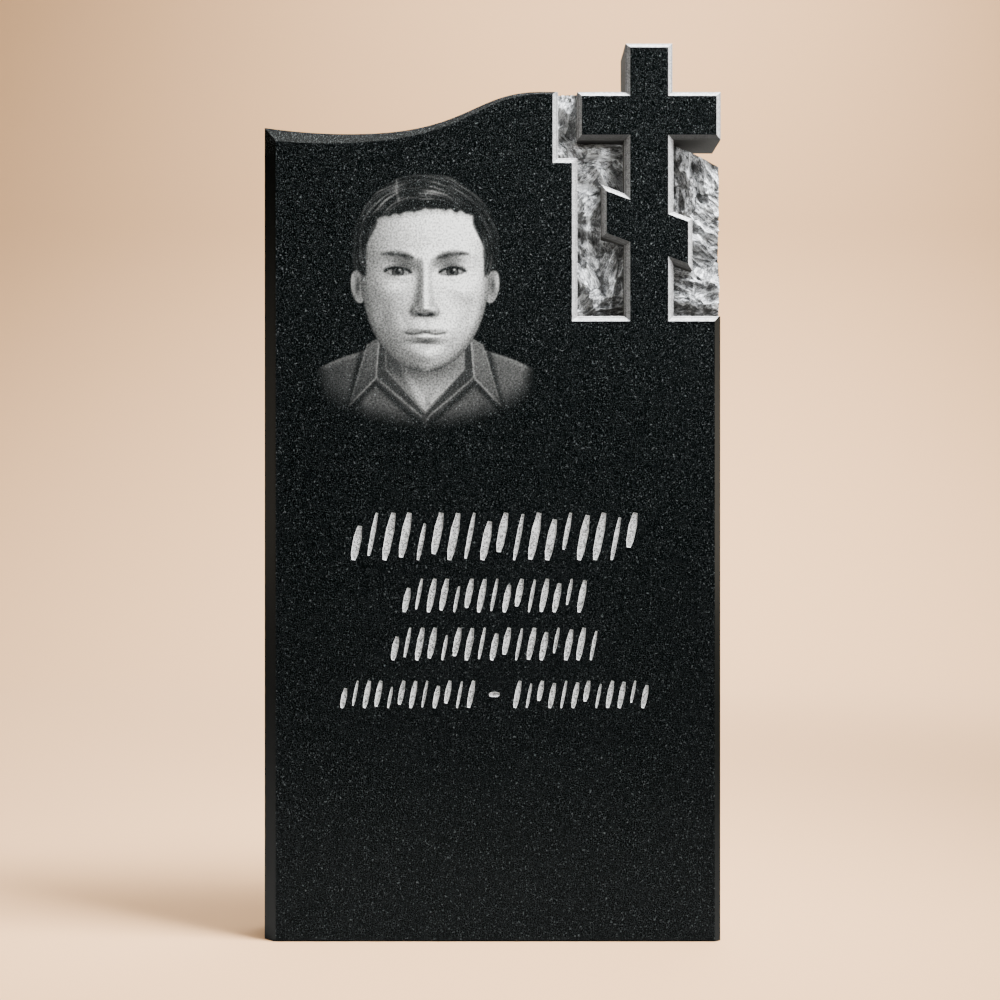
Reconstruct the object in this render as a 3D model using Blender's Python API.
"""Upright gravestone of polished black granite with a cross carved out of its upper right corner.

Blender 4.5. Metres, +Z up. The stone stands on z = 0, centred on x = 0 and y = 0, and its polished
front faces -Y. The cross stands in front of two pockets whose floors are left rock-pitched.
"""

import math

import bmesh
import bpy
from mathutils import Vector, noise
from mathutils.geometry import interpolate_bezier

# Slab
SLAB_WIDTH = 0.500
SLAB_THICKNESS = 0.080
CREST_HEIGHT = 0.928

# Wavy top line, from the left shoulder through the dip to the crest, with drops below the crest
SHOULDER_DROP = 0.037
DIP_DROP = 0.0447
DIP_FROM_LEFT = 0.100
CREST_FROM_LEFT = 0.302
DIP_HANDLE = 0.125
CREST_HANDLE = 0.073
CURVE_STEPS = 18

# Bevels round the slab's front, each with its width on the front face and its depth into the side
LEFT_BEVEL = 0.014
SHOULDER_BEVEL_WIDTH = 0.016
CREST_BEVEL = 0.003
RIGHT_BEVEL = 0.007
FOOT_ARRIS = 0.0025
BACK_ARRIS = 0.002

# Cross: sizes of the polished faces, to which the bevels are added. Its arms are level with the crest
CROSS_BEVEL = 0.005
HEAD_RISE = 0.053
POST_FACE_WIDTH = 0.0415
POST_FROM_RIGHT = 0.0785
ARM_FACE_SPAN = 0.147
ARM_FACE_HEIGHT = 0.0425
BAR_FACE_SPAN = 0.089
BAR_FACE_HEIGHT = 0.046
BAR_DROP = 0.1009
BAR_SHIFT = -0.002
BAR_SLOPE = math.radians(20.6)

# Pockets beside the cross, with drops below the arms' faces
UPPER_POCKET_WIDTH = 0.0318
LOWER_POCKET_WIDTH = 0.0635
LEDGE_DROP = 0.0307
FOOT_DROP = 0.2034
POCKET_BEVEL = 0.006
BEVEL_DEPTH = 0.0055
NOTCH_MOUTH = 0.0265
NOTCH_ROOT = 0.0015
NOTCH_STEP = 0.0004

# Rock-pitched floors
FLOOR_DEPTH = 0.020
FLOOR_SWELL = 0.004
ROCK_RELIEF = 0.0038
ROCK_SCALE = 0.019
ROCK_PITCH = 0.0041
CREASE = 0.0065
RIDGE = -0.0060
HOLLOW = 0.0080
NARROW = 0.0085
BROAD = 0.0200
DEEPEST_FLOOR = 0.048

# The rock's noise: dimension, lacunarity, octaves, offset and gain, then its mean and the swell's scale
RIDGE_NOISE = (0.9, 2.2, 3, 0.95, 1.4)
RIDGE_MEAN = 0.9
SWELL_SCALE = 0.5

# Inscription: each row's top as a drop below the pockets' foot, its strokes' height, its width, its
# number of strokes and their width
HEAD_ROW_DROP = 0.2092
HEAD_ROW_HEIGHT = 0.0512
HEAD_ROW_WIDTH = 0.318
HEAD_ROW_STROKES = 18
HEAD_ROW_STROKE = 0.0086
UPPER_ROW_DROP = 0.2812
UPPER_ROW_HEIGHT = 0.0360
UPPER_ROW_WIDTH = 0.205
UPPER_ROW_STROKES = 15
LOWER_ROW_DROP = 0.3346
LOWER_ROW_HEIGHT = 0.0350
LOWER_ROW_WIDTH = 0.230
LOWER_ROW_STROKES = 17
MIDDLE_ROW_STROKE = 0.0066
FOOT_ROW_DROP = 0.3924
FOOT_ROW_HEIGHT = 0.0295
FOOT_ROW_WIDTH = 0.341
FOOT_ROW_STROKES = 27
FOOT_ROW_STROKE = 0.0056
INSCRIPTION_CENTRE = 0.0025
STROKE_LEAN = math.radians(11.0)
STROKE_THIN = 0.55
STROKE_SHORTEST = 0.28
STROKE_RHYTHM = 2.4
STROKE_CUT = 0.0010
STROKE_WALL = 0.0004
DASH_GAP = 0.019
DASH_LENGTH = 0.011

# A stroke's half-width along its length, both as shares
STROKE_PROFILE = ((0.0, 0.46), (0.2, 0.9), (0.65, 1.0), (1.0, 0.52))

# How far a cutter runs past the surface that it cuts, and a bevel's wedge as a share of its width
OVERRUN = 0.004
WEDGE_REACH = 0.5

# Points nearer than this are one point
CRUMB = 0.00002

# Places that follow from the sizes above
LEFT = -SLAB_WIDTH / 2
RIGHT = SLAB_WIDTH / 2
FRONT = -SLAB_THICKNESS / 2
POST_X = RIGHT - POST_FROM_RIGHT
POST_LEFT = POST_X - POST_FACE_WIDTH / 2
POST_RIGHT = POST_X + POST_FACE_WIDTH / 2
ARM_RIGHT = RIGHT - CROSS_BEVEL
ARM_LEFT = ARM_RIGHT - ARM_FACE_SPAN
ARM_TOP = CREST_HEIGHT - CROSS_BEVEL
ARM_BOTTOM = ARM_TOP - ARM_FACE_HEIGHT
ARM_UNDERSIDE = ARM_BOTTOM - CROSS_BEVEL
OVERALL_HEIGHT = CREST_HEIGHT + HEAD_RISE
SHOULDER_HEIGHT = CREST_HEIGHT - SHOULDER_DROP
DIP_HEIGHT = CREST_HEIGHT - DIP_DROP
BAR_HEIGHT = ARM_BOTTOM - BAR_DROP
LEDGE_HEIGHT = ARM_BOTTOM - LEDGE_DROP
POCKET_FOOT = ARM_BOTTOM - FOOT_DROP
BAR_LEFT = POST_X + BAR_SHIFT - BAR_FACE_SPAN / 2
BAR_RIGHT = BAR_LEFT + BAR_FACE_SPAN
UPPER_POCKET_LEFT = ARM_LEFT - UPPER_POCKET_WIDTH
LOWER_POCKET_LEFT = POST_LEFT - LOWER_POCKET_WIDTH


def clear_scene():
    """Removes whatever objects the open file holds."""
    for old in list(bpy.data.objects):
        bpy.data.objects.remove(old, do_unlink=True)


def granite():
    """Polished black granite."""
    material = bpy.data.materials.new("polished_black_granite")
    material.use_nodes = True
    shader = material.node_tree.nodes["Principled BSDF"]
    shader.inputs["Base Color"].default_value = (0.012, 0.013, 0.014, 1.0)
    shader.inputs["Roughness"].default_value = 0.18
    shader.inputs["Metallic"].default_value = 0.0
    return material


def inset(points, widths):
    """Moves each edge of a closed outline to its left by its own width, with mitred corners.

    points run anticlockwise, so that left is inwards. widths[i] belongs to the edge from point i.
    """
    moved = []
    for i, point in enumerate(points):
        before, after = points[i - 1], points[(i + 1) % len(points)]
        moved.append(mitre(before, point, after, widths[i - 1], widths[i]))
    return moved


def mitre(before, point, after, width_in, width_out):
    """The corner at point once the edges that meet there have moved left by their widths."""
    edge_in = (point - before).normalized()
    edge_out = (after - point).normalized()
    left_in = Vector((-edge_in.y, edge_in.x)) * width_in
    left_out = Vector((-edge_out.y, edge_out.x)) * width_out
    turn = edge_in.cross(edge_out)
    if abs(turn) < 1e-3:
        return point + (left_in + left_out) / 2
    along = (left_out - left_in).cross(edge_out) / turn
    return point + left_in + edge_in * along


def mesh_object(name, mesh_data):
    """Puts a bmesh in the scene as an object, with its faces turned outwards."""
    bmesh.ops.recalc_face_normals(mesh_data, faces=mesh_data.faces)
    mesh = bpy.data.meshes.new(name)
    mesh_data.to_mesh(mesh)
    mesh_data.free()
    made = bpy.data.objects.new(name, mesh)
    bpy.context.collection.objects.link(made)
    return made


def cutter_object(name, mesh_data):
    """A mesh object that only cuts others."""
    made = mesh_object(name, mesh_data)
    made.hide_render = True
    made.display_type = "WIRE"
    return made


def add_loft(mesh_data, loops):
    """Joins loops of equal length with walls, and caps the first and the last."""
    rings = [[mesh_data.verts.new(point) for point in loop] for loop in loops]
    for ring, following in zip(rings, rings[1:]):
        for i in range(len(ring)):
            j = (i + 1) % len(ring)
            mesh_data.faces.new((ring[i], ring[j], following[j], following[i]))
    mesh_data.faces.new(rings[0])
    mesh_data.faces.new(rings[-1])


def at_depth(points, depth):
    """Outline points in the plane that lies depth behind the front face."""
    return [Vector((point.x, FRONT + depth, point.y)) for point in points]


def boolean(target, cutter, operation="DIFFERENCE"):
    """Adds a live Boolean with the exact solver, and welds the crumbs where mitres meet corners."""
    modifier = target.modifiers.new(f"{operation.lower()}_{cutter.name}", "BOOLEAN")
    modifier.operation = operation
    modifier.solver = "EXACT"
    modifier.object = cutter
    weld = target.modifiers.new(f"weld_{cutter.name}", "WELD")
    weld.merge_threshold = CRUMB


def top_line():
    """The wavy top edge, from the left shoulder to the crest."""
    shoulder = Vector((LEFT, SHOULDER_HEIGHT))
    dip = Vector((LEFT + DIP_FROM_LEFT, DIP_HEIGHT))
    crest = Vector((LEFT + CREST_FROM_LEFT, CREST_HEIGHT))
    third = DIP_FROM_LEFT / 3
    fall = 2 * (SHOULDER_HEIGHT - DIP_HEIGHT) / 3
    leaving = shoulder + Vector((third, -fall))
    arriving = dip - Vector((third, 0.0))
    first = interpolate_bezier(shoulder, leaving, arriving, dip, CURVE_STEPS // 2)
    rising = dip + Vector((DIP_HANDLE, 0.0))
    levelling = crest - Vector((CREST_HANDLE, 0.0))
    second = interpolate_bezier(dip, rising, levelling, crest, CURVE_STEPS)
    return [Vector(point) for point in first[:-1] + second]


def stone_outline():
    """The whole silhouette seen from the front, anticlockwise from the lower left corner."""
    flank = POST_RIGHT + POCKET_BEVEL
    notch_top = ARM_UNDERSIDE + NOTCH_STEP
    stem_left = POST_LEFT - CROSS_BEVEL
    stem_right = POST_RIGHT + CROSS_BEVEL
    corners = [
        (LEFT, 0.0),
        (RIGHT, 0.0),
        (RIGHT, notch_top - NOTCH_MOUTH),
        (flank, notch_top - NOTCH_ROOT),
        (flank, notch_top),
        (RIGHT, notch_top),
        (RIGHT, CREST_HEIGHT),
        (stem_right, CREST_HEIGHT),
        (stem_right, OVERALL_HEIGHT),
        (stem_left, OVERALL_HEIGHT),
        (stem_left, CREST_HEIGHT),
    ]
    return [Vector(corner) for corner in corners] + list(reversed(top_line()))


def stone_blank():
    """The slab with the cross's silhouette on it, and a small arris round its back."""
    outline = stone_outline()
    arris = inset(outline, [BACK_ARRIS] * len(outline))
    mesh_data = bmesh.new()
    straight = SLAB_THICKNESS - BACK_ARRIS
    loops = [at_depth(outline, 0.0), at_depth(outline, straight), at_depth(arris, SLAB_THICKNESS)]
    add_loft(mesh_data, loops)
    return mesh_object("granite_stele", mesh_data)


def bevel_cutter(name, path, widths, depths):
    """A wedge that bevels the front edge along an open path, with the stone on the path's left.

    widths and depths hold one value for each point: the bevel's width on the front face and its
    depth down the side.
    """
    mesh_data = bmesh.new()
    sections = []
    for i, point in enumerate(path):
        before = path[i - 1] if i else point - (path[1] - point)
        after = path[i + 1] if i + 1 < len(path) else point + (point - path[i - 1])
        face_edge = mitre(before, point, after, widths[i], widths[i])
        reach = (point - face_edge) * WEDGE_REACH
        before_face = -depths[i] * WEDGE_REACH
        behind_side = depths[i] * (1 + WEDGE_REACH)
        low = at_depth([point + reach], behind_side)
        high = at_depth([face_edge - reach, point + reach], before_face)
        sections.append(low + high)
    add_loft(mesh_data, sections)
    return cutter_object(name, mesh_data)


def left_bevel():
    """The wide bevel up the left side."""
    path = [Vector((LEFT, SHOULDER_HEIGHT + LEFT_BEVEL)), Vector((LEFT, -OVERRUN))]
    return bevel_cutter("cut_left_bevel", path, [LEFT_BEVEL] * 2, [LEFT_BEVEL] * 2)


def top_bevel():
    """The bevel along the top line, which narrows from the shoulder towards the crest.

    Its sections lie between the outline's own points, so that no edge of it meets one of theirs.
    """
    line = top_line()
    middles = [(a + b) / 2 for a, b in zip(line, line[1:])]
    before_shoulder = line[0] + (line[0] - middles[0]).normalized() * LEFT_BEVEL
    past_crest = Vector((UPPER_POCKET_LEFT + 2 * OVERRUN, CREST_HEIGHT))
    path = [past_crest] + middles[::-1] + [before_shoulder]
    widths = []
    depths = []
    for point in path:
        share = (middles[-1].x - point.x) / (middles[-1].x - LEFT)
        share = max(share, 0.0)
        widths.append(CREST_BEVEL + (SHOULDER_BEVEL_WIDTH - CREST_BEVEL) * share)
        depths.append(CREST_BEVEL + (LEFT_BEVEL - CREST_BEVEL) * share)
    return bevel_cutter("cut_top_bevel", path, widths, depths)


def right_bevel():
    """The bevel up the right side, from the foot to the pocket."""
    path = [Vector((RIGHT, -OVERRUN)), Vector((RIGHT, POCKET_FOOT + 2 * OVERRUN))]
    return bevel_cutter("cut_right_bevel", path, [RIGHT_BEVEL] * 2, [RIGHT_BEVEL] * 2)


def foot_arris():
    """The small arris along the lower front edge."""
    path = [Vector((LEFT - OVERRUN, 0.0)), Vector((RIGHT + OVERRUN, 0.0))]
    return bevel_cutter("cut_foot_arris", path, [FOOT_ARRIS] * 2, [FOOT_ARRIS] * 2)


def cross_top_bevel():
    """The bevel round the cross's free edges, from the right arm's underside to the left arm's end."""
    stem_left = POST_LEFT - CROSS_BEVEL
    stem_right = POST_RIGHT + CROSS_BEVEL
    path = [
        (RIGHT, ARM_UNDERSIDE - OVERRUN),
        (RIGHT, CREST_HEIGHT),
        (stem_right, CREST_HEIGHT),
        (stem_right, OVERALL_HEIGHT),
        (stem_left, OVERALL_HEIGHT),
        (stem_left, CREST_HEIGHT),
        (ARM_LEFT - CROSS_BEVEL - OVERRUN, CREST_HEIGHT),
    ]
    sizes = [CROSS_BEVEL] * len(path)
    return bevel_cutter("cut_cross_bevel", [Vector(p) for p in path], sizes, sizes)


def bar_edge(x, side):
    """Height of the slanted bar's upper (side 1) or lower (side -1) face edge at x."""
    middle = POST_X + BAR_SHIFT
    return BAR_HEIGHT + side * BAR_FACE_HEIGHT / 2 - (x - middle) * math.tan(BAR_SLOPE)


def left_pocket_edges():
    """(corner, bevel width of the edge that leaves it) round the left pocket, anticlockwise."""
    above = CREST_HEIGHT + 5 * OVERRUN
    return [
        (UPPER_POCKET_LEFT, above, POCKET_BEVEL),
        (UPPER_POCKET_LEFT, LEDGE_HEIGHT, POCKET_BEVEL),
        (LOWER_POCKET_LEFT, LEDGE_HEIGHT, POCKET_BEVEL),
        (LOWER_POCKET_LEFT, POCKET_FOOT, POCKET_BEVEL),
        (POST_LEFT, POCKET_FOOT, POCKET_BEVEL),
        (POST_LEFT, bar_edge(POST_LEFT, -1), CROSS_BEVEL),
        (BAR_LEFT, bar_edge(BAR_LEFT, -1), CROSS_BEVEL),
        (BAR_LEFT, bar_edge(BAR_LEFT, 1), CROSS_BEVEL),
        (POST_LEFT, bar_edge(POST_LEFT, 1), POCKET_BEVEL),
        (POST_LEFT, ARM_BOTTOM, CROSS_BEVEL),
        (ARM_LEFT, ARM_BOTTOM, CROSS_BEVEL),
        (ARM_LEFT, above, CROSS_BEVEL),
    ]


def right_pocket_edges():
    """(corner, bevel width of the edge that leaves it) round the right pocket, anticlockwise."""
    outside = RIGHT + 5 * OVERRUN
    return [
        (POST_RIGHT, ARM_BOTTOM, POCKET_BEVEL),
        (POST_RIGHT, bar_edge(POST_RIGHT, 1), CROSS_BEVEL),
        (BAR_RIGHT, bar_edge(BAR_RIGHT, 1), CROSS_BEVEL),
        (BAR_RIGHT, bar_edge(BAR_RIGHT, -1), CROSS_BEVEL),
        (POST_RIGHT, bar_edge(POST_RIGHT, -1), POCKET_BEVEL),
        (POST_RIGHT, POCKET_FOOT, POCKET_BEVEL),
        (outside, POCKET_FOOT, POCKET_BEVEL),
        (outside, ARM_BOTTOM, CROSS_BEVEL),
    ]


def distance_to_segment(point, start, end):
    """Distance in the front plane from a point to the stretch between start and end."""
    along = end - start
    share = (point - start).dot(along) / along.length_squared
    nearest = start + along * min(max(share, 0.0), 1.0)
    return (point - nearest).length


def rock_cells():
    """The boxes (left, right, bottom, top) that the cross's edges divide the pockets into."""
    bar_top_left = bar_edge(BAR_LEFT, 1)
    bar_foot_left = bar_edge(BAR_LEFT, -1)
    bar_top_right = bar_edge(BAR_RIGHT, 1)
    bar_foot_right = bar_edge(BAR_RIGHT, -1)
    return {
        "ledge": (UPPER_POCKET_LEFT, ARM_LEFT, LEDGE_HEIGHT, CREST_HEIGHT),
        "left_head": (LOWER_POCKET_LEFT, POST_LEFT, bar_top_left, ARM_UNDERSIDE),
        "left_bar": (LOWER_POCKET_LEFT, BAR_LEFT, bar_foot_left, bar_top_left),
        "left_foot": (LOWER_POCKET_LEFT, POST_LEFT, POCKET_FOOT, bar_foot_left),
        "right_head": (POST_RIGHT, RIGHT, bar_top_right, ARM_UNDERSIDE),
        "right_bar": (BAR_RIGHT, RIGHT, bar_foot_right, bar_top_right),
        "right_foot": (POST_RIGHT, RIGHT, POCKET_FOOT, bar_foot_right),
    }


# Where the rock broke: (cell, from, to, reach, change of depth), with places as shares of the cell
ROCK_FEATURES = (
    ("ledge", (0.2, 0.86), (0.9, 0.62), NARROW, RIDGE),
    ("ledge", (0.3, 0.16), (0.9, 0.40), NARROW, RIDGE),
    ("ledge", (0.2, 0.34), (0.7, 0.52), NARROW, CREASE),
    ("ledge", (0.1, 0.02), (1.0, 0.06), NARROW, CREASE),
    ("left_head", (0.0, 1.0), (1.0, 1.0), NARROW, CREASE),
    ("left_head", (0.05, 0.86), (0.70, 0.84), NARROW, RIDGE),
    ("left_head", (0.0, 0.68), (0.45, 0.66), NARROW, CREASE),
    ("left_head", (0.86, 0.20), (0.86, 0.80), BROAD, HOLLOW),
    ("left_head", (0.40, 0.52), (0.80, 0.05), NARROW, RIDGE),
    ("left_head", (0.0, 0.30), (0.46, 0.02), NARROW, CREASE),
    ("left_bar", (1.0, 1.0), (1.0, 0.0), NARROW, CREASE),
    ("left_bar", (0.35, 0.90), (0.45, 0.15), BROAD, RIDGE),
    ("left_bar", (0.1, 0.05), (1.0, -0.20), NARROW, CREASE),
    ("left_foot", (0.46, 0.92), (0.52, 0.35), NARROW, CREASE),
    ("left_foot", (0.24, 0.86), (0.34, 0.30), NARROW, RIDGE),
    ("left_foot", (0.72, 0.84), (0.66, 0.36), NARROW, RIDGE),
    ("left_foot", (0.10, 0.55), (0.40, 0.14), NARROW, RIDGE),
    ("left_foot", (0.30, 0.0), (0.80, 0.0), BROAD, HOLLOW),
    ("right_head", (0.08, 0.86), (0.12, 0.20), BROAD, HOLLOW),
    ("right_head", (0.34, 0.84), (0.52, 0.22), NARROW, RIDGE),
    ("right_head", (0.66, 0.70), (0.84, 0.24), NARROW, RIDGE),
    ("right_head", (0.52, 0.70), (0.66, 0.30), NARROW, CREASE),
    ("right_head", (0.10, 0.12), (1.0, -0.28), NARROW, CREASE),
    ("right_bar", (0.1, 0.62), (0.9, 0.44), NARROW, RIDGE),
    ("right_bar", (0.2, 0.05), (0.9, 0.20), BROAD, HOLLOW),
    ("right_foot", (0.48, 0.92), (1.0, 0.62), NARROW, RIDGE),
    ("right_foot", (0.12, 0.80), (0.20, 0.40), BROAD, HOLLOW),
    ("right_foot", (0.25, 0.42), (0.85, 0.30), NARROW, RIDGE),
    ("right_foot", (0.30, 0.0), (0.90, 0.0), BROAD, HOLLOW),
)


def rock_features():
    """The broken places as (start, end, reach, change) in the front plane."""
    cells = rock_cells()
    placed = []
    for cell, start, end, reach, change in ROCK_FEATURES:
        left, right, bottom, top = cells[cell]
        first = Vector((left + (right - left) * start[0], bottom + (top - bottom) * start[1]))
        last = Vector((left + (right - left) * end[0], bottom + (top - bottom) * end[1]))
        placed.append((first, last, reach, change))
    return placed


def rock_depth(x, z, features):
    """Depth of the rock-pitched floor behind the front face."""
    point = Vector((x, z))
    place = Vector((x, 0.0, z)) / ROCK_SCALE
    ridges = noise.ridged_multi_fractal(place, *RIDGE_NOISE) - RIDGE_MEAN
    swell = noise.noise(place * SWELL_SCALE)
    depth = FLOOR_DEPTH - ROCK_RELIEF * ridges + FLOOR_SWELL * swell
    for start, end, reach, change in features:
        depth += change * max(1.0 - distance_to_segment(point, start, end) / reach, 0.0)
    return min(max(depth, 2 * BEVEL_DEPTH), DEEPEST_FLOOR - OVERRUN)


def pocket_mouth(name, edges):
    """The pocket's bevelled and upright walls, down to below its floor."""
    points = [Vector((x, z)) for x, z, _ in edges]
    widths = [width for _, _, width in edges]
    slope = OVERRUN / BEVEL_DEPTH
    outer = inset(points, [-width * slope for width in widths])
    inner = inset(points, widths)
    mesh_data = bmesh.new()
    loops = [at_depth(outer, -OVERRUN), at_depth(inner, BEVEL_DEPTH), at_depth(inner, DEEPEST_FLOOR)]
    add_loft(mesh_data, loops)
    return cutter_object(name, mesh_data)


def rock_block(name, edges):
    """Everything in front of the rock-pitched floor, wider than the pocket on every side."""
    low_x = min(x for x, _, _ in edges) - ROCK_PITCH
    high_x = max(x for x, _, _ in edges) + ROCK_PITCH
    low_z = min(z for _, z, _ in edges) - ROCK_PITCH
    high_z = max(z for _, z, _ in edges) + ROCK_PITCH
    columns = math.ceil((high_x - low_x) / ROCK_PITCH)
    rows = math.ceil((high_z - low_z) / ROCK_PITCH)
    features = rock_features()
    mesh_data = bmesh.new()
    grid = []
    for row in range(rows + 1):
        z = low_z + (high_z - low_z) * row / rows
        stagger = ROCK_PITCH / 4 * (row % 2)
        line = []
        for column in range(columns + 1):
            inside = 0 < column < columns
            x = low_x + (high_x - low_x) * column / columns + stagger * inside
            line.append(mesh_data.verts.new((x, FRONT + rock_depth(x, z, features), z)))
        grid.append(line)
    for row in range(rows):
        for column in range(columns):
            a, b = grid[row][column], grid[row][column + 1]
            c, d = grid[row + 1][column + 1], grid[row + 1][column]
            if (row + column) % 2:
                corners = ((a, b, c), (a, c, d))
            else:
                corners = ((a, b, d), (b, c, d))
            for corner in corners:
                mesh_data.faces.new(corner)
    rim = grid[0] + [line[-1] for line in grid[1:-1]] + grid[-1][::-1]
    rim += [line[0] for line in grid[-2:0:-1]]
    front = [mesh_data.verts.new((v.co.x, FRONT - 2 * OVERRUN, v.co.z)) for v in rim]
    for i in range(len(rim)):
        j = (i + 1) % len(rim)
        mesh_data.faces.new((rim[i], rim[j], front[j], front[i]))
    mesh_data.faces.new(front)
    return cutter_object(name, mesh_data)


def pocket_cutter(side, edges):
    """One pocket's whole hollow: its walls, ended by the rock-pitched floor."""
    mouth = pocket_mouth(f"cut_{side}_pocket", edges)
    boolean(mouth, rock_block(f"cut_{side}_rock", edges), "INTERSECT")
    return mouth


def stroke_outline(x, z, length, width, lean):
    """A leaf-shaped chisel stroke, anticlockwise, standing on (x, z) and leaning to the right."""
    along = Vector((math.sin(lean), math.cos(lean)))
    across = Vector((math.cos(lean), -math.sin(lean)))
    foot = Vector((x, z))
    right = [foot + along * length * t + across * width / 2 * w for t, w in STROKE_PROFILE]
    left = [foot + along * length * t - across * width / 2 * w for t, w in STROKE_PROFILE]
    return right + left[::-1]


def row_strokes(drop, height, width, count, stroke_width):
    """Outlines of one row of strokes: every third is thin, and their lengths vary by rule."""
    top = POCKET_FOOT - drop
    pitch = width / count
    start = INSCRIPTION_CENTRE - width / 2
    strokes = []
    for i in range(count):
        share = 1.0 - STROKE_SHORTEST + STROKE_SHORTEST * abs(math.sin(STROKE_RHYTHM * i))
        thickness = stroke_width * (STROKE_THIN if i % 3 == 1 else 1.0)
        length = height * share / math.cos(STROKE_LEAN)
        foot = top - height + height * (1.0 - share) * (i % 2)
        x = start + pitch * (i + 0.5) - math.sin(STROKE_LEAN) * length / 2
        strokes.append(stroke_outline(x, foot, length, thickness, STROKE_LEAN))
    return strokes


def inscription_outlines():
    """Every stroke of the inscription. The lowest row is parted by a gap with a level dash in it."""
    head = (HEAD_ROW_DROP, HEAD_ROW_HEIGHT, HEAD_ROW_WIDTH, HEAD_ROW_STROKES, HEAD_ROW_STROKE)
    upper = (UPPER_ROW_DROP, UPPER_ROW_HEIGHT, UPPER_ROW_WIDTH, UPPER_ROW_STROKES, MIDDLE_ROW_STROKE)
    lower = (LOWER_ROW_DROP, LOWER_ROW_HEIGHT, LOWER_ROW_WIDTH, LOWER_ROW_STROKES, MIDDLE_ROW_STROKE)
    foot = (FOOT_ROW_DROP, FOOT_ROW_HEIGHT, FOOT_ROW_WIDTH, FOOT_ROW_STROKES, FOOT_ROW_STROKE)
    strokes = row_strokes(*head) + row_strokes(*upper) + row_strokes(*lower)
    for outline in row_strokes(*foot):
        middle = sum(point.x for point in outline) / len(outline)
        if abs(middle - INSCRIPTION_CENTRE) > DASH_GAP:
            strokes.append(outline)
    dash_x = INSCRIPTION_CENTRE - DASH_LENGTH / 2
    dash_z = POCKET_FOOT - FOOT_ROW_DROP - FOOT_ROW_HEIGHT / 2
    strokes.append(stroke_outline(dash_x, dash_z, DASH_LENGTH, FOOT_ROW_STROKE, math.pi / 2))
    return strokes


def inscription_cutter():
    """The shallow flat-bottomed cuts of the inscription, with sloping sides."""
    mesh_data = bmesh.new()
    past = OVERRUN / 4
    for outline in inscription_outlines():
        count = len(outline)
        outer = inset(outline, [-STROKE_WALL * past / STROKE_CUT] * count)
        floor = inset(outline, [STROKE_WALL] * count)
        add_loft(mesh_data, [at_depth(outer, -past), at_depth(floor, STROKE_CUT)])
    return cutter_object("cut_inscription", mesh_data)


def build():
    """Models the stone."""
    clear_scene()
    stone = stone_blank()
    stone.data.materials.append(granite())
    cutters = [
        left_bevel(),
        top_bevel(),
        right_bevel(),
        foot_arris(),
        cross_top_bevel(),
        pocket_cutter("left", left_pocket_edges()),
        pocket_cutter("right", right_pocket_edges()),
        inscription_cutter(),
    ]
    for cutter in cutters:
        boolean(stone, cutter)


build()
